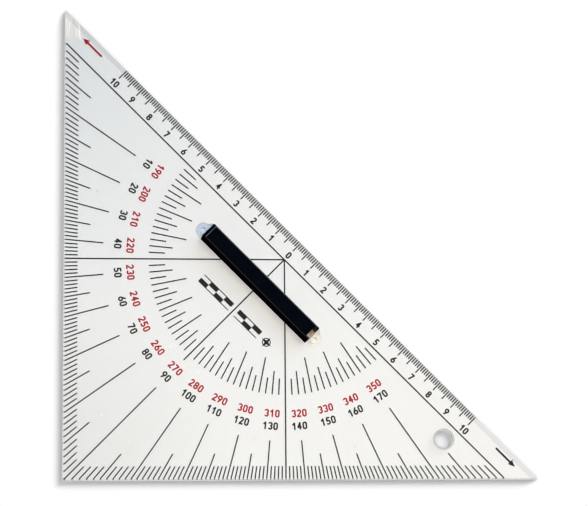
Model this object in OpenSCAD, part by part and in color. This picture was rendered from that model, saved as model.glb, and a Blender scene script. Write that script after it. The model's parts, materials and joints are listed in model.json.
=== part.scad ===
/* [Plate] */
// Length of each of the two equal short edges
leg_length = 191.4; // [180:0.2:210]
// Thickness of the clear plate
plate_t = 2; // [1.6:0.1:3]
// Distance from the protractor centre to the bevelled long edge
centre_inset = 9.5; // [8:0.5:12]
// Width of the bevel along the long edge
bevel_w = 2.2; // [1:0.1:3]
// Plate thickness left at the outer side of the bevel
bevel_edge_t = 0.9; // [0.5:0.1:1.5]
// Small chamfer on the top of the two short edges
edge_chamfer = 0.2; // [0.1:0.05:0.4]
// Radius of the hang hole
hang_hole_r = 3.6; // [3:0.1:5]
// Chamfer around the top of the hang hole
hole_chamfer = 0.7; // [0.2:0.1:1.5]
// Distance of the hang hole from the centre, along the long edge
hang_hole_e = 96.85; // [90:0.05:100]
// Distance of the hang hole inboard of the protractor's base line
hang_hole_n = 6.3; // [5:0.1:8]

/* [Ink bosses] */
// Radius of each boss moulded under the plate
boss_r = 0.55; // [0.4:0.05:1]
// Height of the bosses, which keep the print off the chart
boss_h = 0.2; // [0.15:0.05:0.5]

/* [Handle] */
// Distance of the handle's centre line inboard of the base line
handle_inset = 15.2; // [13:0.1:16]
// Length of the grip sleeve's side walls
sleeve_length = 59.4; // [50:0.2:59.8]
// Width of the grip sleeve
sleeve_w = 6.6; // [6:0.1:8]
// Wall thickness of the grip sleeve's sides
sleeve_wall = 0.8; // [0.6:0.05:1.2]
// Thickness of the grip sleeve's top
sleeve_web = 1.1; // [0.8:0.1:1.5]
// How far the top stops short of the side walls at the open end
sleeve_notch = 1.7; // [1:0.1:2.5]
// Length of the slope at the closed end, and how far it drops
sleeve_slope = 1.5; // [1:0.1:1.6]
// Height of the grip's top above the plate
handle_h = 12.5; // [9:0.5:14]
// Width of the clear raked ends
base_w = 7; // [6.8:0.1:9]
// How far the raked ends lean back at the top
rake = 3.95; // [3.5:0.05:4.5]
// Thickness of the round lugs
lug_t = 1.6; // [1.2:0.1:2]
// Distance from the handle's middle to each lug's centre
lug_reach = 31.5; // [31.3:0.1:34]
// Radius of the round lugs
lug_r = 3; // [2.5:0.1:3.4]
// Radius of the pegs under the lugs
peg_r = 1.2; // [0.8:0.05:1.5]

/* [Fits] */
// Radial clearance of each peg in its hole in the plate
peg_gap = 0.05; // [0.02:0.01:0.1]
// Clearance between the rib and the grip sleeve, each side
sleeve_gap = 0.04; // [0.02:0.01:0.1]
// Clearance between the grip sleeve's side walls and the plate
sleeve_foot_gap = 0.2; // [0.1:0.05:0.5]

/* [Printing] */
// Thickness of the printed layers
ink_t = 0.05; // [0.03:0.01:0.1]
// Width of the scale ticks
tick_w = 0.46; // [0.2:0.02:0.5]
// Width of the long construction lines
line_w = 0.5; // [0.2:0.02:0.6]
// Height of the centimetre numerals
cm_digit_h = 2.9; // [2:0.1:4]
// Height of the degree numerals
degree_digit_h = 3.1; // [2:0.1:4]
// Width of the numerals' strokes
stroke_w = 0.58; // [0.3:0.02:0.6]
// Radius at which the black degree numerals stand
degree_digit_r = 67.7; // [66:0.1:70]
// Radius at which the red reciprocal numerals stand
reciprocal_digit_r = 62.6; // [60:0.1:64]
// Radius of the outer end of the compass point ticks
point_r = 55; // [50:0.5:58]

/* [Hidden] */
$fn = 64;

// Heights: the bosses rest at z = 0, the print lies just under the plate
plate_bottom = boss_h;
plate_top = plate_bottom + plate_t;
ink_clear = 0.01;
ink_bottom = plate_bottom - ink_clear - ink_t;
overlap = 1;

// The plate's outline about the protractor centre
leg_x = (leg_length - centre_inset * sqrt(2)) / 2;
tip_y = leg_length - leg_x;
long_edge = leg_length * sqrt(2);

// Colours
CLEAR = [0.90, 0.93, 0.95, 0.35];
BLACK = [0.03, 0.03, 0.035];
INK = [0.08, 0.08, 0.09];
RED_INK = [0.76, 0.12, 0.17];

// Places a child in the protractor's frame: the origin of the part is the middle of the long edge
module at_centre() translate([-centre_inset / sqrt(2), -centre_inset / sqrt(2), 0]) children();

// Turns a child about the protractor's centre: x along the long edge, y towards it
module along_edge() rotate(-45) children();

// Places a child in the handle's frame, standing on the plate
module at_handle() at_centre() along_edge() translate([0, -handle_inset, plate_top]) children();

// Repeats a child on both sides of the square line
module both_sides() {
    children();
    mirror([1, -1, 0]) children();
}

// Repeats a child at both ends of the handle
module both_ends() {
    children();
    mirror([1, 0, 0]) children();
}

// ---- Plate ----

// One ink boss for each side of the square line; the mirror image makes the other four
boss_places = [[-75.4, 28.3], [-72.3, -12.2], [-46, -35.6], [-73.8, -62.9]];

module outline() polygon([[-leg_x, -leg_x], [tip_y, -leg_x], [-leg_x, tip_y]]);

// The wedge cut away by the bevel along the long edge
module bevel_cut() {
    drop = plate_t - bevel_edge_t;
    along_edge() translate([-long_edge / 2 - overlap, centre_inset, plate_top])
        rotate([90, 0, 90]) linear_extrude(long_edge + 2 * overlap)
            polygon([[-bevel_w, 0], [overlap, overlap], [overlap, -drop * (1 + overlap / bevel_w)]]);
}

// The sliver cut from the top corner of the left short edge
module chamfer_cut() {
    translate([-leg_x, 0, plate_top]) rotate([0, 45, 0])
        cube([edge_chamfer * sqrt(2), 2 * leg_length, edge_chamfer * sqrt(2)], center = true);
}

// The hang hole, chamfered where it meets the top
module hang_hole_cut() {
    cylinder(r = hang_hole_r, h = plate_top + overlap);
    translate([0, 0, plate_top - hole_chamfer])
        cylinder(r1 = hang_hole_r, r2 = hang_hole_r + hole_chamfer + overlap, h = hole_chamfer + overlap);
}

module bevelled_sheet() {
    difference() {
        translate([0, 0, plate_bottom]) linear_extrude(plate_t) outline();
        bevel_cut();
    }
}

module plate() {
    color(CLEAR) {
        difference() {
            at_centre() bevelled_sheet();
            at_centre() both_sides() chamfer_cut();
            at_centre() along_edge() translate([hang_hole_e, -hang_hole_n, 0]) hang_hole_cut();
            at_handle() both_ends() translate([lug_reach, 0, -plate_t - overlap])
                cylinder(r = peg_r + peg_gap, h = plate_t + 2 * overlap);
        }
        at_centre() both_sides() for (place = boss_places)
            translate(place) cylinder(r = boss_r, h = plate_bottom);
    }
}

// ---- Handle ----

rib_w = sleeve_w - 2 * (sleeve_wall + sleeve_gap);
rib_top = handle_h - sleeve_web;
// The raked ends follow an arc about a line at the plate's surface
rake_r = (rib_top * rib_top + rake * rake) / (2 * rake);
rake_x = lug_reach + 0.5 - rake_r;
end_corner_r = 2;
bead_r = 0.3;
bead_z = 6;
bead_length = 20;
peg_length = plate_t - 0.2;

// Extrudes a side view across the handle
module across(width) {
    translate([0, width / 2, 0]) rotate([90, 0, 0]) linear_extrude(width) children();
}

// A bar between the raked ends, of the given width
module raked_bar(width) {
    across(width) intersection() {
        translate([-2 * lug_reach, 0]) square([4 * lug_reach, rib_top]);
        union() {
            square([2 * rake_x, 2 * handle_h], center = true);
            both_ends() translate([rake_x, 0]) circle(rake_r);
        }
    }
}

// The ends seen from above: rounded at the outer corners, outside the sleeve only
module end_outline() {
    inside = sleeve_length / 2 + sleeve_gap;
    outside = lug_reach + 0.5;
    straight = outside - end_corner_r - inside;
    both_ends() {
        translate([inside, -base_w / 2]) square([straight, base_w]);
        translate([inside, end_corner_r - base_w / 2])
            square([straight + end_corner_r, base_w - 2 * end_corner_r]);
        for (y = [-1, 1]) translate([outside - end_corner_r, y * (base_w / 2 - end_corner_r)])
            intersection() {
                circle(end_corner_r);
                translate([inside - outside + end_corner_r, -end_corner_r])
                    square([2 * end_corner_r, 2 * end_corner_r]);
            }
    }
}

// The half-round beads that hold the sleeve on the rib
module beads(radius, length) {
    for (y = [-1, 1]) translate([-length / 2, y * rib_w / 2, bead_z])
        rotate([0, 90, 0]) cylinder(r = radius, h = length);
}

module handle_base() {
    color(CLEAR) at_handle() {
        raked_bar(rib_w);
        intersection() {
            raked_bar(base_w);
            linear_extrude(handle_h) end_outline();
        }
        beads(bead_r, bead_length);
        both_ends() translate([lug_reach, 0, 0]) {
            cylinder(r = lug_r, h = lug_t);
            translate([0, 0, -peg_length]) cylinder(r = peg_r, h = peg_length + lug_t);
        }
    }
}

// The sleeve's cross-section: an upside-down U with rounded top corners
module sleeve_section() {
    edge_r = 0.5;
    side = sleeve_w / 2;
    inner = side - sleeve_wall;
    difference() {
        union() {
            translate([-side, sleeve_foot_gap]) square([sleeve_w, handle_h - sleeve_foot_gap - edge_r]);
            translate([edge_r - side, handle_h / 2]) square([sleeve_w - 2 * edge_r, handle_h / 2]);
            for (y = [-1, 1]) translate([y * (side - edge_r), handle_h - edge_r]) circle(edge_r);
        }
        translate([-inner, 0]) square([2 * inner, rib_top]);
    }
}

// The closed end's filling, seen from the side: it follows the rib's rake
module closed_end_section() {
    end = sleeve_length / 2;
    difference() {
        translate([-end, rib_top / 2]) square([2 * sleeve_slope, (handle_h - sleeve_web / 2) - rib_top / 2]);
        translate([-rake_x, 0]) circle(rake_r + sleeve_gap);
        translate([-rake_x, 0]) square([2 * rake_x, 2 * rib_top]);
    }
}

// What the slope takes off the closed end, seen from the side
module slope_cut_section() {
    end = sleeve_length / 2;
    polygon([
        [-end - sleeve_slope, handle_h - 2 * sleeve_slope],
        [-end + sleeve_slope, handle_h],
        [-end + sleeve_slope, handle_h + overlap],
        [-end - sleeve_slope, handle_h + overlap]
    ]);
}

module grip_sleeve() {
    inner_w = sleeve_w - 2 * sleeve_wall;
    end = sleeve_length / 2;
    color(BLACK) at_handle() difference() {
        union() {
            translate([-end, 0, 0]) rotate([90, 0, 90]) linear_extrude(sleeve_length) sleeve_section();
            across(inner_w) closed_end_section();
        }
        across(2 * sleeve_w) slope_cut_section();
        translate([end - sleeve_notch, -inner_w / 2, rib_top - overlap])
            cube([sleeve_notch + overlap, inner_w, sleeve_web + 2 * overlap]);
        beads(bead_r + sleeve_gap, bead_length + 2 * sleeve_gap);
    }
}

// ---- Print ----

module ink(tint) color(tint) at_centre() translate([0, 0, ink_bottom]) linear_extrude(ink_t) children();

// A straight stroke from one point to another
module stroke(from, to, width) {
    run = to - from;
    translate(from) rotate(atan2(run[1], run[0])) translate([0, -width / 2])
        square([norm(run), width]);
}

// A stroke with round ends
module round_stroke(from, to, width) {
    stroke(from, to, width);
    translate(from) circle(width / 2);
    translate(to) circle(width / 2);
}

// Part of a ring about the origin, between two angles
module arc(radius, from, to, width) {
    steps = 6;
    reach = 2 * radius;
    intersection() {
        difference() {
            circle(radius + width / 2);
            circle(radius - width / 2);
        }
        polygon(concat([[0, 0]], [for (i = [0:steps]) let (a = from + (to - from) * i / steps)
            reach * [cos(a), sin(a)]]));
    }
}

// One numeral, centred on the origin, drawn from strokes and arcs
module digit(value, height) {
    w = stroke_w;
    top = (height - w) / 2;
    half = 0.2 * height;
    bowl = top / 2;
    if (value == 0) {
        for (s = [-1, 1]) {
            stroke([s * half, half - top], [s * half, top - half], w);
            translate([0, s * (top - half)]) arc(half, 90 * s - 90, 90 * s + 90, w);
        }
    }
    if (value == 1) {
        round_stroke([0.3 * half, -top], [0.3 * half, top], w);
        round_stroke([0.3 * half, top], [-0.7 * half, 0.5 * top], w);
    }
    if (value == 2) {
        translate([0, top - half]) arc(half, -30, 170, w);
        round_stroke([half * cos(30), top - half - half * sin(30)], [-half, -top], w);
        round_stroke([-half, -top], [half, -top], w);
    }
    if (value == 3) {
        translate([0, bowl]) arc(bowl, -90, 160, w);
        translate([0, -bowl]) arc(bowl, -160, 90, w);
    }
    if (value == 4) {
        round_stroke([0.4 * half, -top], [0.4 * half, top], w);
        round_stroke([0.4 * half, top], [-half, -0.4 * top], w);
        round_stroke([-half, -0.4 * top], [half, -0.4 * top], w);
    }
    if (value == 5) {
        low = bowl * 1.1;
        translate([-0.1 * half, low - top]) arc(low, -150, 130, w);
        round_stroke([-0.8 * half, 0.1 * top], [-0.6 * half, top], w);
        round_stroke([-0.6 * half, top], [0.85 * half, top], w);
    }
    if (value == 6) six(top, half, w);
    if (value == 7) {
        round_stroke([-half, top], [half, top], w);
        round_stroke([half, top], [-0.4 * half, -top], w);
    }
    if (value == 8) {
        translate([0, 0.52 * top]) arc(0.48 * top, 0, 360, w);
        translate([0, -0.48 * top]) arc(0.52 * top, 0, 360, w);
    }
    if (value == 9) rotate(180) six(top, half, w);
}

// The six, and turned half round the nine: a ring with a leaning tail
module six(top, half, w) {
    ring = 0.55 * top;
    lean = 55;
    translate([0, ring - top]) {
        difference() {
            circle(ring + w / 2);
            circle(ring - w / 2);
        }
        round_stroke(ring * [-cos(90 - lean), sin(90 - lean)], [0.45 * half, 2 * top - ring], w);
    }
}

// A whole number, its digits side by side and centred on the origin
module number(value, height, pitch) {
    count = value > 99 ? 3 : value > 9 ? 2 : 1;
    for (i = [0:count - 1])
        translate([(i - (count - 1) / 2) * pitch, 0])
            digit(floor(value / pow(10, count - 1 - i)) % 10, height);
}

// The centimetre scale runs from the middle of the long edge both ways
scale_half = 100;
mm_tick = 2.5;
cm_tick = 4.4;
tick_edge_gap = 0.1;
cm_digit_n = 2.5;
digit_pitch = 0.7;

module centimetre_ticks() {
    start = centre_inset - tick_edge_gap;
    ink(INK) along_edge() for (mm = [-scale_half:scale_half]) {
        length = mm % 5 == 0 ? cm_tick : mm_tick;
        stroke([mm, start - length], [mm, start], tick_w);
    }
}

module centimetre_numerals() {
    ink(INK) along_edge() for (cm = [-scale_half / 10:scale_half / 10])
        translate([cm * 10, cm_digit_n]) number(abs(cm), cm_digit_h, digit_pitch * cm_digit_h);
}

// The protractor: 0 to 180 degrees from one end of the base line to the other
function heading(degrees) = 135 + degrees;
function ray(degrees) = [cos(heading(degrees)), sin(heading(degrees))];
// Radius at which a ray is a given distance inside the short edges
function edge_radius(degrees, inside) =
    (leg_x - inside) / max(abs(ray(degrees)[0]), abs(ray(degrees)[1]));

degree_edge_gap = 0.4;
degree_tick = 5;
five_tick = 10;
ten_tick_r = 73.6;

function degree_tick_start(degrees) =
    degrees % 10 == 0 ? ten_tick_r
    : edge_radius(degrees, degree_edge_gap + (degrees % 5 == 0 ? five_tick : degree_tick));

module degree_ticks() {
    ink(INK) for (degrees = [1:179]) if (degrees % 90 != 45)
        stroke(degree_tick_start(degrees) * ray(degrees),
            edge_radius(degrees, degree_edge_gap) * ray(degrees), tick_w);
}

// Numbers round the protractor, their tops towards its centre, each set a little to one side of its ray
module degree_numbers(radius, add, aside) {
    for (degrees = [10:10:170])
        rotate(heading(degrees)) translate([radius, aside]) rotate(90)
            number(degrees + add, degree_digit_h, digit_pitch * degree_digit_h);
}

module degree_numerals() ink(INK) degree_numbers(degree_digit_r, 0, -0.3);

module reciprocal_numerals() ink(RED_INK) degree_numbers(reciprocal_digit_r, 180, 0);

// Compass points: quarter points between the base line's two ends
quarter_points = 64;
quarter_tick = 6.5;
half_point_tick = 9.4;
full_point_tick = 14.4;

module point_ticks() {
    ink(INK) for (k = [1:quarter_points - 1]) if (k % 16 != 0) {
        length = k % 4 == 0 ? full_point_tick : k % 2 == 0 ? half_point_tick : quarter_tick;
        towards = ray(k * 180 / quarter_points);
        stroke((point_r - length) * towards, point_r * towards, tick_w);
    }
}

square_line_r = 57.9;

module base_lines() {
    // The base line ends where it meets the short edges
    base_half = (leg_x - degree_edge_gap) * sqrt(2);
    ink(INK) {
        along_edge() stroke([-base_half, 0], [base_half, 0], line_w);
        for (degrees = [45, 135])
            stroke([0, 0], edge_radius(degrees, degree_edge_gap) * ray(degrees), line_w);
        stroke([0, 0], square_line_r * ray(90), line_w);
    }
}

// An arrow along x, its tip at the origin
arrow_length = 10.7;
arrow_n = 6.35;
module arrow() {
    head_l = 2.7;
    head_w = 2.3;
    stroke([-arrow_length, 0], [-head_l / 2, 0], 1.5 * line_w);
    polygon([[0, 0], [-head_l, head_w / 2], [-head_l, -head_w / 2]]);
}

red_arrow_tip = 122;
black_arrow_tip = 125.3;

module red_arrow() ink(RED_INK) along_edge() translate([-red_arrow_tip, arrow_n]) mirror([1, 0]) arrow();

module black_arrow() ink(INK) along_edge() translate([black_arrow_tip, arrow_n]) arrow();

// A chart border and a small compass star, a plain generic emblem, either side of the square line
emblem_n = -29.2;
emblem_h = 3.8;
emblem_start = 1.7;
block_l = 4.2;
emblem_rule_w = 0.35;

// A strip of blocks between two rules, each block filling the upper or the lower half in turn
module chart_border(blocks) {
    for (y = [-1, 1]) translate([0, y * (emblem_h - emblem_rule_w) / 2 - emblem_rule_w / 2])
        square([blocks * block_l, emblem_rule_w]);
    for (i = [0:blocks - 1]) translate([i * block_l, i % 2 == 0 ? 0 : -emblem_h / 2])
        square([block_l, emblem_h / 2]);
}

// Four points on a ring
module compass_star() {
    waist = 0.14 * emblem_h;
    arc(0.42 * emblem_h, 0, 360, emblem_rule_w);
    for (a = [0:90:270]) rotate(a)
        polygon([[0, 0], [waist, waist], [0.65 * emblem_h, 0], [waist, -waist]]);
}

module emblem() {
    ink(INK) along_edge() translate([0, emblem_n]) {
        translate([-emblem_start, 0]) mirror([1, 0]) chart_border(4);
        translate([emblem_start, 0]) chart_border(3);
        translate([emblem_start + 4 * block_l, 0]) compass_star();
    }
}

plate();
handle_base();
grip_sleeve();
centimetre_ticks();
centimetre_numerals();
degree_ticks();
degree_numerals();
reciprocal_numerals();
point_ticks();
base_lines();
red_arrow();
black_arrow();
emblem();
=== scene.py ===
"""The looks of the navigation triangle: materials, floor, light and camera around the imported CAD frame."""

import json
import math

import bpy
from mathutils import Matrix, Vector

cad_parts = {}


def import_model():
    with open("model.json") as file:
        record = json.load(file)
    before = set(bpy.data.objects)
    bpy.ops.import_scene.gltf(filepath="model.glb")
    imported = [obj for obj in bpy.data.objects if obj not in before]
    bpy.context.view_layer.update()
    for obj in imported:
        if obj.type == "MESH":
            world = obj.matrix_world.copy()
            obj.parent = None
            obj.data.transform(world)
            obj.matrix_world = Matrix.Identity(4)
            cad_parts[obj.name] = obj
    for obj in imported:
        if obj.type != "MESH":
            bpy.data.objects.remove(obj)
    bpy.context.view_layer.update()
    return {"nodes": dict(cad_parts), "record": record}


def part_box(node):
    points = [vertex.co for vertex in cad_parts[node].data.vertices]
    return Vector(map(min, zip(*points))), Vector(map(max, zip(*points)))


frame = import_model()
SCENE = bpy.context.scene
NODES = frame["nodes"]

BLACK_INK_NODES = (
    "centimetre_ticks", "centimetre_numerals", "degree_ticks", "degree_numerals",
    "point_ticks", "base_lines", "black_arrow", "emblem",
)
RED_INK_NODES = ("reciprocal_numerals", "red_arrow")

FLOOR_WHITE = 0.92
ACRYLIC_IOR = 1.49


# ---- Node helpers ----

class Tree:
    """A material or world node tree, with short calls for adding and joining nodes."""

    def __init__(self, owner):
        owner.use_nodes = True
        self.nodes = owner.node_tree.nodes
        self.links = owner.node_tree.links
        self.nodes.clear()

    def add(self, kind, inputs=None, **settings):
        node = self.nodes.new(kind)
        for name, value in settings.items():
            setattr(node, name, value)
        for name, value in (inputs or {}).items():
            self.put(node.inputs[name], value)
        return node

    def put(self, socket, value):
        """Links value to the socket if it is a socket, else sets it."""
        if isinstance(value, bpy.types.NodeSocket):
            self.links.new(value, socket)
        else:
            socket.default_value = value

    def vector(self, operation, a, b):
        """A Vector Math node on two vectors."""
        node = self.add("ShaderNodeVectorMath", operation=operation)
        self.put(node.inputs[0], a)
        self.put(node.inputs[1], b)
        return node

    def maths(self, operation, a, b=0.0, clamp=False):
        node = self.add("ShaderNodeMath", operation=operation, use_clamp=clamp)
        self.put(node.inputs[0], a)
        self.put(node.inputs[1], b)
        return node.outputs[0]

    def mix_colour(self, factor, a, b, blend="MIX"):
        node = self.add("ShaderNodeMix", data_type="RGBA", blend_type=blend)
        self.put(node.inputs[0], factor)
        self.put(node.inputs[6], a)
        self.put(node.inputs[7], b)
        return node.outputs[2]

    def darken(self, colour, tone):
        grey = self.add("ShaderNodeCombineColor", inputs={"Red": tone, "Green": tone, "Blue": tone})
        return self.mix_colour(1.0, colour, grey.outputs[0], blend="MULTIPLY")

    def mix_shader(self, factor, a, b):
        node = self.add("ShaderNodeMixShader")
        self.put(node.inputs[0], factor)
        self.put(node.inputs[1], a)
        self.put(node.inputs[2], b)
        return node.outputs[0]

    def place(self):
        """Object coordinates, which are the frame's own, in metres."""
        return self.add("ShaderNodeTexCoord").outputs["Object"]

    def distance(self, point):
        """How far the shaded place is from a point."""
        return self.vector("DISTANCE", self.place(), point).outputs["Value"]

    def noise(self, size, detail=3.0, where=None):
        """Noise whose features are about size metres across."""
        node = self.add("ShaderNodeTexNoise", inputs={
            "Vector": where or self.place(), "Scale": 1 / size, "Detail": detail})
        return node.outputs[0]

    def between(self, value, low, high, from_low=0.0, from_high=1.0):
        """Moves a value from one range to another, and stops at its ends."""
        node = self.add("ShaderNodeMapRange", inputs={
            "Value": value, "From Min": from_low, "From Max": from_high, "To Min": low, "To Max": high})
        return node.outputs[0]

    def bump(self, height, distance, strength, normal=None):
        node = self.add("ShaderNodeBump", inputs={
            "Height": height, "Distance": distance, "Strength": strength})
        if normal:
            self.put(node.inputs["Normal"], normal)
        return node.outputs[0]


def material(name):
    made = bpy.data.materials.new(name)
    return made, Tree(made)


def wear(obj, made):
    """Gives every slot of an object this material."""
    if not obj.material_slots:
        obj.data.materials.append(made)
    for slot in obj.material_slots:
        slot.material = made


# ---- Clear plastic ----

def painted_reflection_drift(t, first, last, low, high):
    """A painted reflection tint that drifts from first to last, quickly at first, on the way from low to
    high.
    """
    along = Vector(high) - Vector(low)
    offset = t.vector("SUBTRACT", t.place(), low)
    run = t.vector("DOT_PRODUCT", offset.outputs[0], along / along.length_squared)
    remaining = t.maths("SUBTRACT", 1.0, t.maths("ADD", run.outputs["Value"], 0.0, clamp=True))
    quickness = 3.0
    return t.mix_colour(t.maths("POWER", remaining, quickness), last, first)


def scuffed_corner(t, tint, corner, reach, width):
    """Rubs the tint paler and streaky beside a top left corner, as far as reach down and width across.

    A bright line, where the rubbing stops, runs down the right side.
    """
    raggedness = 0.0012
    lean = 0.12
    line_width = 0.0005
    ragged = t.maths("MULTIPLY", t.noise(0.0015), raggedness)
    place = t.add("ShaderNodeSeparateXYZ", inputs={"Vector": t.place()})
    down = t.maths("ADD", t.maths("SUBTRACT", corner.y, place.outputs[1]), ragged)
    upright_across = t.maths("ADD", t.maths("SUBTRACT", place.outputs[0], corner.x), ragged)
    across = t.maths("SUBTRACT", upright_across, t.maths("MULTIPLY", down, lean))
    fading = t.between(down, 1.0, 0.0, 0.85 * reach, reach)
    near = t.maths("MULTIPLY", t.maths("LESS_THAN", across, width), fading)
    stretched = t.vector("MULTIPLY", t.place(), (1, 0.08, 1))
    streaks = t.between(t.noise(0.0008, detail=4.0, where=stretched.outputs[0]), 0.0, 1.0, 0.35, 0.65)
    rubbed = t.mix_colour(streaks, (0.87, 0.872, 0.86, 1), (0.95, 0.945, 0.93, 1))
    scuffed = t.mix_colour(near, tint, rubbed)
    off_line = t.maths("ABSOLUTE", t.maths("SUBTRACT", across, width))
    brightness = t.between(off_line, 1.0, 0.0, 0.0, line_width)
    line = t.maths("MULTIPLY", brightness, t.maths("LESS_THAN", down, reach))
    return t.mix_colour(line, scuffed, (1, 1, 1, 1))


def clear_plastic(name, tint_of, core, edge_passes, slope_shade=1.0, haze=0.0, soft=0.0, frost=0.0, hole=None):
    """Clear polished acrylic. It refracts for the camera and lets lamps through to what lies under it.

    tint_of makes its faint tint, painted reflection tint and painted shade included. slope_shade darkens
    sloping faces with painted shade, and haze is how much rougher they are. The frost makes upright cuts
    matt, and sloping faces too where they are seen along their surface. It also ends views that would
    otherwise stay trapped between the faces and go black. A soft share of the view goes straight on, unbent.

    Where lamp light would leave by an upright face, only edge_passes of it gets through. The wall and
    chamfer of a hole, given by its middle and reach, hold it back as well, and a little of what would enter
    there too. The chamfer is also darkened with painted shade, as a dark ring. The core, given in the same
    way, keeps its upright faces clear.
    """
    upright_below, flat_above = 0.5, 0.97
    made, t = material(name)
    geometry = t.add("ShaderNodeNewGeometry")
    facing = t.add("ShaderNodeSeparateXYZ", inputs={"Vector": geometry.outputs["True Normal"]})
    lift = t.maths("ABSOLUTE", facing.outputs[2])
    upright = t.maths("LESS_THAN", lift, upright_below)
    sloping = t.maths(
        "MULTIPLY", t.maths("GREATER_THAN", lift, upright_below), t.maths("LESS_THAN", lift, flat_above))
    cut = t.maths("MULTIPLY", upright, t.maths("GREATER_THAN", t.distance(core[0]), core[1]))
    # Painted shade: sloping faces, such as the bevel, are darkened by slope_shade
    tint = t.darken(tint_of(t), t.between(sloping, 1.0, slope_shade))

    # Lamp rays are traced back to the lamp, so the face that light leaves by is met from its front
    closed = t.maths("SUBTRACT", 1.0, geometry.outputs["Backfacing"])
    holding = cut
    if hole:
        closed_to_entry = 0.15
        chamfer_shade = 0.84
        near_hole = t.maths("LESS_THAN", t.distance(hole[0]), hole[1])
        closed = t.maths("MAXIMUM", closed, t.maths("MULTIPLY", near_hole, closed_to_entry))
        around_hole = t.maths("MULTIPLY", t.maths("MAXIMUM", sloping, upright), near_hole)
        holding = t.maths("MAXIMUM", cut, around_hole)
        # Painted shade: the chamfer around the hole is darkened by chamfer_shade into a dark ring
        chamfer = t.maths("MULTIPLY", sloping, near_hole)
        tint = t.darken(tint, t.between(chamfer, 1.0, chamfer_shade))
    let_through = t.mix_colour(t.maths("MULTIPLY", holding, closed), (1, 1, 1, 1), (edge_passes,) * 3 + (1,))
    open_shader = t.add("ShaderNodeBsdfTransparent", inputs={"Color": let_through})

    smudge = t.between(t.noise(0.012, detail=5.0), 0.01, 0.05, 0.45, 0.75)
    shine = t.maths("ADD", smudge, t.maths("MULTIPLY", sloping, haze))
    ripple = t.bump(t.noise(0.006, detail=2.0), 0.00002, 0.25)
    glass = t.add("ShaderNodeBsdfGlass", inputs={
        "Color": tint, "Roughness": shine, "IOR": ACRYLIC_IOR, "Normal": ripple})
    unbent = t.add("ShaderNodeBsdfTransparent", inputs={"Color": tint})
    clear = t.mix_shader(soft, glass.outputs[0], unbent.outputs[0])

    bounces_before_trapped = 3.5
    path = t.add("ShaderNodeLightPath")
    trapped = t.maths("GREATER_THAN", path.outputs["Ray Depth"], bounces_before_trapped)
    grazing = t.between(t.add("ShaderNodeLayerWeight").outputs["Facing"], 0.0, 1.0, 0.3, 0.55)
    frosted = t.maths("MAXIMUM", t.maths("MAXIMUM", cut, trapped), t.maths("MULTIPLY", sloping, grazing))
    matt = t.add("ShaderNodeBsdfDiffuse", inputs={"Color": (0.45, 0.46, 0.465, 1)})
    seen = t.mix_shader(t.maths("MULTIPLY", frosted, frost), clear, matt.outputs[0])

    lamp_ray = t.maths("MAXIMUM", path.outputs["Is Shadow Ray"], path.outputs["Is Diffuse Ray"])
    surface = t.mix_shader(lamp_ray, seen, open_shader.outputs[0])
    t.add("ShaderNodeOutputMaterial", inputs={"Surface": surface})
    return made


def plate_plastic(handle_middle):
    """Bluish towards its scuffed upper tip, a painted reflection tint, and a little greyer towards its
    right-angled corner, painted shade.
    """
    low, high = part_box("plate")
    top_tip = Vector((low.x, high.y, 0))
    right_tip = Vector((high.x, low.y, 0))
    # Painted shade towards the right-angled corner: its darkest tone and how far it reaches
    corner_shade, corner_reach = 0.957, 0.07
    mounts = {mount["name"]: mount for mount in frame["record"]["mounts"]}
    hang_hole = mounts["hang_hole"]
    # Past the chamfer
    hole_reach = 1.45 * hang_hole["dims"]["r_mm"] / 1000
    # The core holds both peg holes, and leaves out the long edge
    core_middle = handle_middle + Vector((-0.0177, -0.0177, 0))
    core_reach = 0.0425

    def tint_of(t):
        # Painted reflection tint: bluish and darker near the top tip, paler towards the right tip
        drift = painted_reflection_drift(t, (0.860, 0.878, 0.886, 1), (0.973, 0.968, 0.956, 1), top_tip, right_tip)
        drift = scuffed_corner(t, drift, top_tip, reach=0.0128, width=0.0051)
        # Painted shade: the plate greys towards its right-angled corner, out to corner_reach
        return t.darken(drift, t.between(t.distance(low), corner_shade, 1.0, 0.0, corner_reach))

    # slope_shade here is painted shade on the bevel band
    return clear_plastic(
        "clear_plate_plastic", tint_of, (core_middle, core_reach), edge_passes=0.05, slope_shade=0.9,
        haze=0.2, frost=0.6, hole=(hang_hole["pos_m"], hole_reach))


def handle_plastic(handle_middle):
    """Bluish at its upper end and clear at its lower one, a painted reflection tint, with painted shade
    making the rib brown under the grip.
    """
    low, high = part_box("handle_base")
    # The core is the part that the sleeve holds, and it reaches into the notch at the open end
    core_middle = handle_middle + Vector((0.0007, -0.0007, 0))
    core_reach = 0.0291

    def tint_of(t):
        # Painted reflection tint: bluish at the upper end, clear at the lower one
        ends = painted_reflection_drift(
            t, (0.78, 0.85, 0.94, 1), (1, 0.98, 0.95, 1), (low.x, high.y, 0), (high.x, low.y, 0))
        # Painted shade: inside the core the clear rib is tinted brown, where the grip shades it
        outside = t.maths("GREATER_THAN", t.distance(core_middle), core_reach)
        return t.mix_colour(outside, (0.68, 0.6, 0.51, 1), ends)

    return clear_plastic(
        "clear_handle_plastic", tint_of, (core_middle, core_reach), edge_passes=1.0, soft=0.8)


# ---- Ink and grip ----

def ink(name, colour, thin_colour):
    """Screen-printed ink: a dense flat film whose density varies a little, with a finely grained surface."""
    made, t = material(name)
    density = t.between(t.noise(0.0006, detail=4.0), 0.0, 1.0, 0.35, 0.8)
    tone = t.mix_colour(density, colour, thin_colour)
    shine = t.between(t.noise(0.002), 0.35, 0.55)
    grain = t.bump(t.noise(0.0002), 0.00001, 0.5)
    film = t.add("ShaderNodeBsdfPrincipled", inputs={
        "Base Color": tone, "Roughness": shine, "Normal": grain})
    t.add("ShaderNodeOutputMaterial", inputs={"Surface": film.outputs[0]})
    return made


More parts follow.
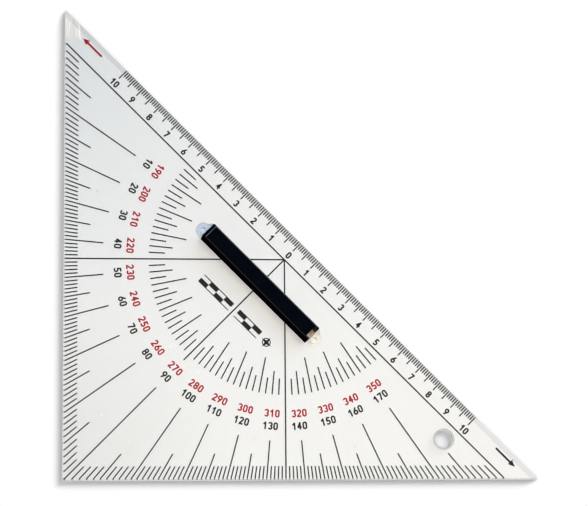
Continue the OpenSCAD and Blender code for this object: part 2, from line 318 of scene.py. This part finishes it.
def black_grip():
    """Glossy black moulded plastic, with a fine texture and faint smears. Its edges look a little rounded.

    Steep faces don't mirror, so that the bright floor doesn't grey them, and flat ones mirror little.
    """
    edge_radius = 0.0004
    steep_below, flat_above = 0.75, 0.995
    made, t = material("black_grip_plastic")
    rounded = t.add("ShaderNodeBevel", samples=8, inputs={"Radius": edge_radius}).outputs[0]
    facing = t.add("ShaderNodeSeparateXYZ", inputs={"Vector": rounded})
    lift = t.maths("ABSOLUTE", facing.outputs[2])
    steep = t.maths("LESS_THAN", lift, steep_below)
    flat = t.maths("GREATER_THAN", lift, flat_above)
    mirroring = t.maths("MULTIPLY", t.between(steep, 0.5, 0.0), t.between(flat, 1.0, 0.1))
    cloud = t.noise(0.004, detail=4.0)
    tone = t.mix_colour(cloud, (0.001, 0.0015, 0.003, 1), (0.003, 0.004, 0.006, 1))
    shine = t.between(t.noise(0.009, detail=4.0), 0.07, 0.16, 0.3, 0.7)
    texture = t.bump(t.noise(0.0005, detail=4.0), 0.00003, 0.35, rounded)
    skin = t.add("ShaderNodeBsdfPrincipled", inputs={
        "Base Color": tone, "Roughness": shine, "Specular IOR Level": mirroring, "Normal": texture})
    t.add("ShaderNodeOutputMaterial", inputs={"Surface": skin.outputs[0]})
    return made


def dress_nodes():
    sleeve_low, sleeve_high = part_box("grip_sleeve")
    handle_middle = (sleeve_low + sleeve_high) / 2
    wear(NODES["plate"], plate_plastic(handle_middle))
    wear(NODES["handle_base"], handle_plastic(handle_middle))
    wear(NODES["grip_sleeve"], black_grip())
    black = ink("black_print_ink", (0.012, 0.012, 0.014, 1), (0.03, 0.03, 0.033, 1))
    red = ink("red_print_ink", (0.42, 0.02, 0.04, 1), (0.5, 0.035, 0.055, 1))
    for node in BLACK_INK_NODES:
        wear(NODES[node], black)
    for node in RED_INK_NODES:
        wear(NODES[node], red)


# ---- Floor, light and camera ----

def floor():
    half = 1.5
    corners = [(-half, -half, 0), (half, -half, 0), (half, half, 0), (-half, half, 0)]
    mesh = bpy.data.meshes.new("floor")
    mesh.from_pydata(corners, [], [(0, 1, 2, 3)])
    obj = bpy.data.objects.new("floor", mesh)
    SCENE.collection.objects.link(obj)
    made, t = material("floor_white")
    paint = t.add("ShaderNodeBsdfDiffuse", inputs={"Color": (FLOOR_WHITE,) * 3 + (1,)})
    t.add("ShaderNodeOutputMaterial", inputs={"Surface": paint.outputs[0]})
    mesh.materials.append(made)


def linked(name, objects):
    """A collection of these objects, for light linking."""
    group = bpy.data.collections.new(name)
    for obj in objects:
        group.objects.link(obj)
    return group


def sun(name, azimuth, elevation, spread, share, colour, blockers=None, receivers=None):
    """A distant soft lamp that gives the bare floor this share of its brightness.

    Azimuth is counter-clockwise from +X and spread is the lamp's apparent width, both in degrees. Only
    the blockers, if any are named, cast its shadows. Only the receivers, if any are named, are lit by it,
    and they mirror it as well.
    """
    height = math.sin(math.radians(elevation))
    light = bpy.data.lights.new(name, "SUN")
    light.energy = share * math.pi / (FLOOR_WHITE * height)
    light.angle = math.radians(spread)
    light.color = colour
    light.cycles.use_multiple_importance_sampling = receivers is not None
    obj = bpy.data.objects.new(name, light)
    a, e = math.radians(azimuth), math.radians(elevation)
    towards = Vector((math.cos(a) * math.cos(e), math.sin(a) * math.cos(e), height))
    obj.rotation_euler = towards.to_track_quat("Z", "Y").to_euler()
    obj.visible_glossy = receivers is not None
    obj.visible_transmission = False
    SCENE.collection.objects.link(obj)
    if blockers:
        obj.light_linking.blocker_collection = linked(name + "_blockers", blockers)
    if receivers:
        obj.light_linking.receiver_collection = linked(name + "_receivers", receivers)


def lamps():
    """Soft light from the upper right and overhead, and thin glints for the grip's edges.

    The lamps that only the plate blocks give the dark line beside its left and lower edges.
    """
    plate_only = [NODES["plate"]]
    sun("low_softbox", 45, 26, 30, 0.395, (1, 1, 1), blockers=plate_only)
    sun("dome_softbox", 225, 60, 140, 0.21, (1, 1, 1), blockers=plate_only)
    sun("fill_softbox", 225, 60, 40, 0.07, (1, 1, 1), blockers=plate_only)
    grip_only = [NODES["grip_sleeve"]]
    sun("end_glint", 123, 34, 40, 0.9, (0.8, 0.95, 1.1), receivers=grip_only)
    sun("side_glint", 47, 28, 40, 0.7, (0.85, 1, 1.1), receivers=grip_only)
    sun("front_glint", 227, 34, 30, 0.12, (1.05, 0.95, 1), receivers=grip_only)
    sun("key_softbox", 42, 68.6, 38, 0.155, (0.77, 1.0, 1.28))
    sun("top_softbox", 42, 87, 10, 0.13, (1.2, 1.0, 0.75))


def world(share, colour, rim):
    """A plain studio. It fills with this share of the floor's brightness and looks pale in the background.

    In mirroring surfaces it is dark overhead, with a band as bright as rim around it.
    """
    rim_top, ceiling = math.radians(25), math.radians(50)
    made = bpy.data.worlds.new("studio")
    SCENE.world = made
    t = Tree(made)
    up = t.add("ShaderNodeSeparateXYZ", inputs={"Vector": t.add("ShaderNodeTexCoord").outputs["Generated"]})
    brightness = t.between(up.outputs[2], rim, 0.0, math.sin(rim_top), math.sin(ceiling))
    room = t.add("ShaderNodeBackground", inputs={"Color": colour, "Strength": share / FLOOR_WHITE})
    mirrored = t.add("ShaderNodeBackground", inputs={"Color": (0.95, 0.97, 1, 1), "Strength": brightness})
    backdrop = t.add("ShaderNodeBackground", inputs={"Color": (1, 1, 1, 1), "Strength": 0.9})
    path = t.add("ShaderNodeLightPath")
    seen = t.maths("MAXIMUM", path.outputs["Is Camera Ray"], path.outputs["Is Transmission Ray"])
    lit = t.mix_shader(path.outputs["Is Glossy Ray"], room.outputs[0], mirrored.outputs[0])
    t.add("ShaderNodeOutputWorld", inputs={"Surface": t.mix_shader(seen, lit, backdrop.outputs[0])})


def camera():
    """The viewpoint: nearly overhead, leaning to the lower left, far off with a long lens."""
    data = bpy.data.cameras.new("camera")
    data.sensor_width = 36
    data.lens = 140.8
    data.clip_end = 10
    obj = bpy.data.objects.new("camera", data)
    protractor_inset = 0.0067175
    obj.location = Vector((-0.0911, -0.1325, 0.9208)) - Vector((protractor_inset, protractor_inset, 0))
    obj.rotation_euler = [math.radians(a) for a in (8.37, -5.83, -0.48)]
    SCENE.collection.objects.link(obj)
    SCENE.camera = obj


dress_nodes()
floor()
lamps()
world(0.08, (1.1, 1, 0.9, 1), rim=0.3)
camera()
SCENE.view_settings.view_transform = "Standard"
SCENE.view_settings.gamma = 0.75
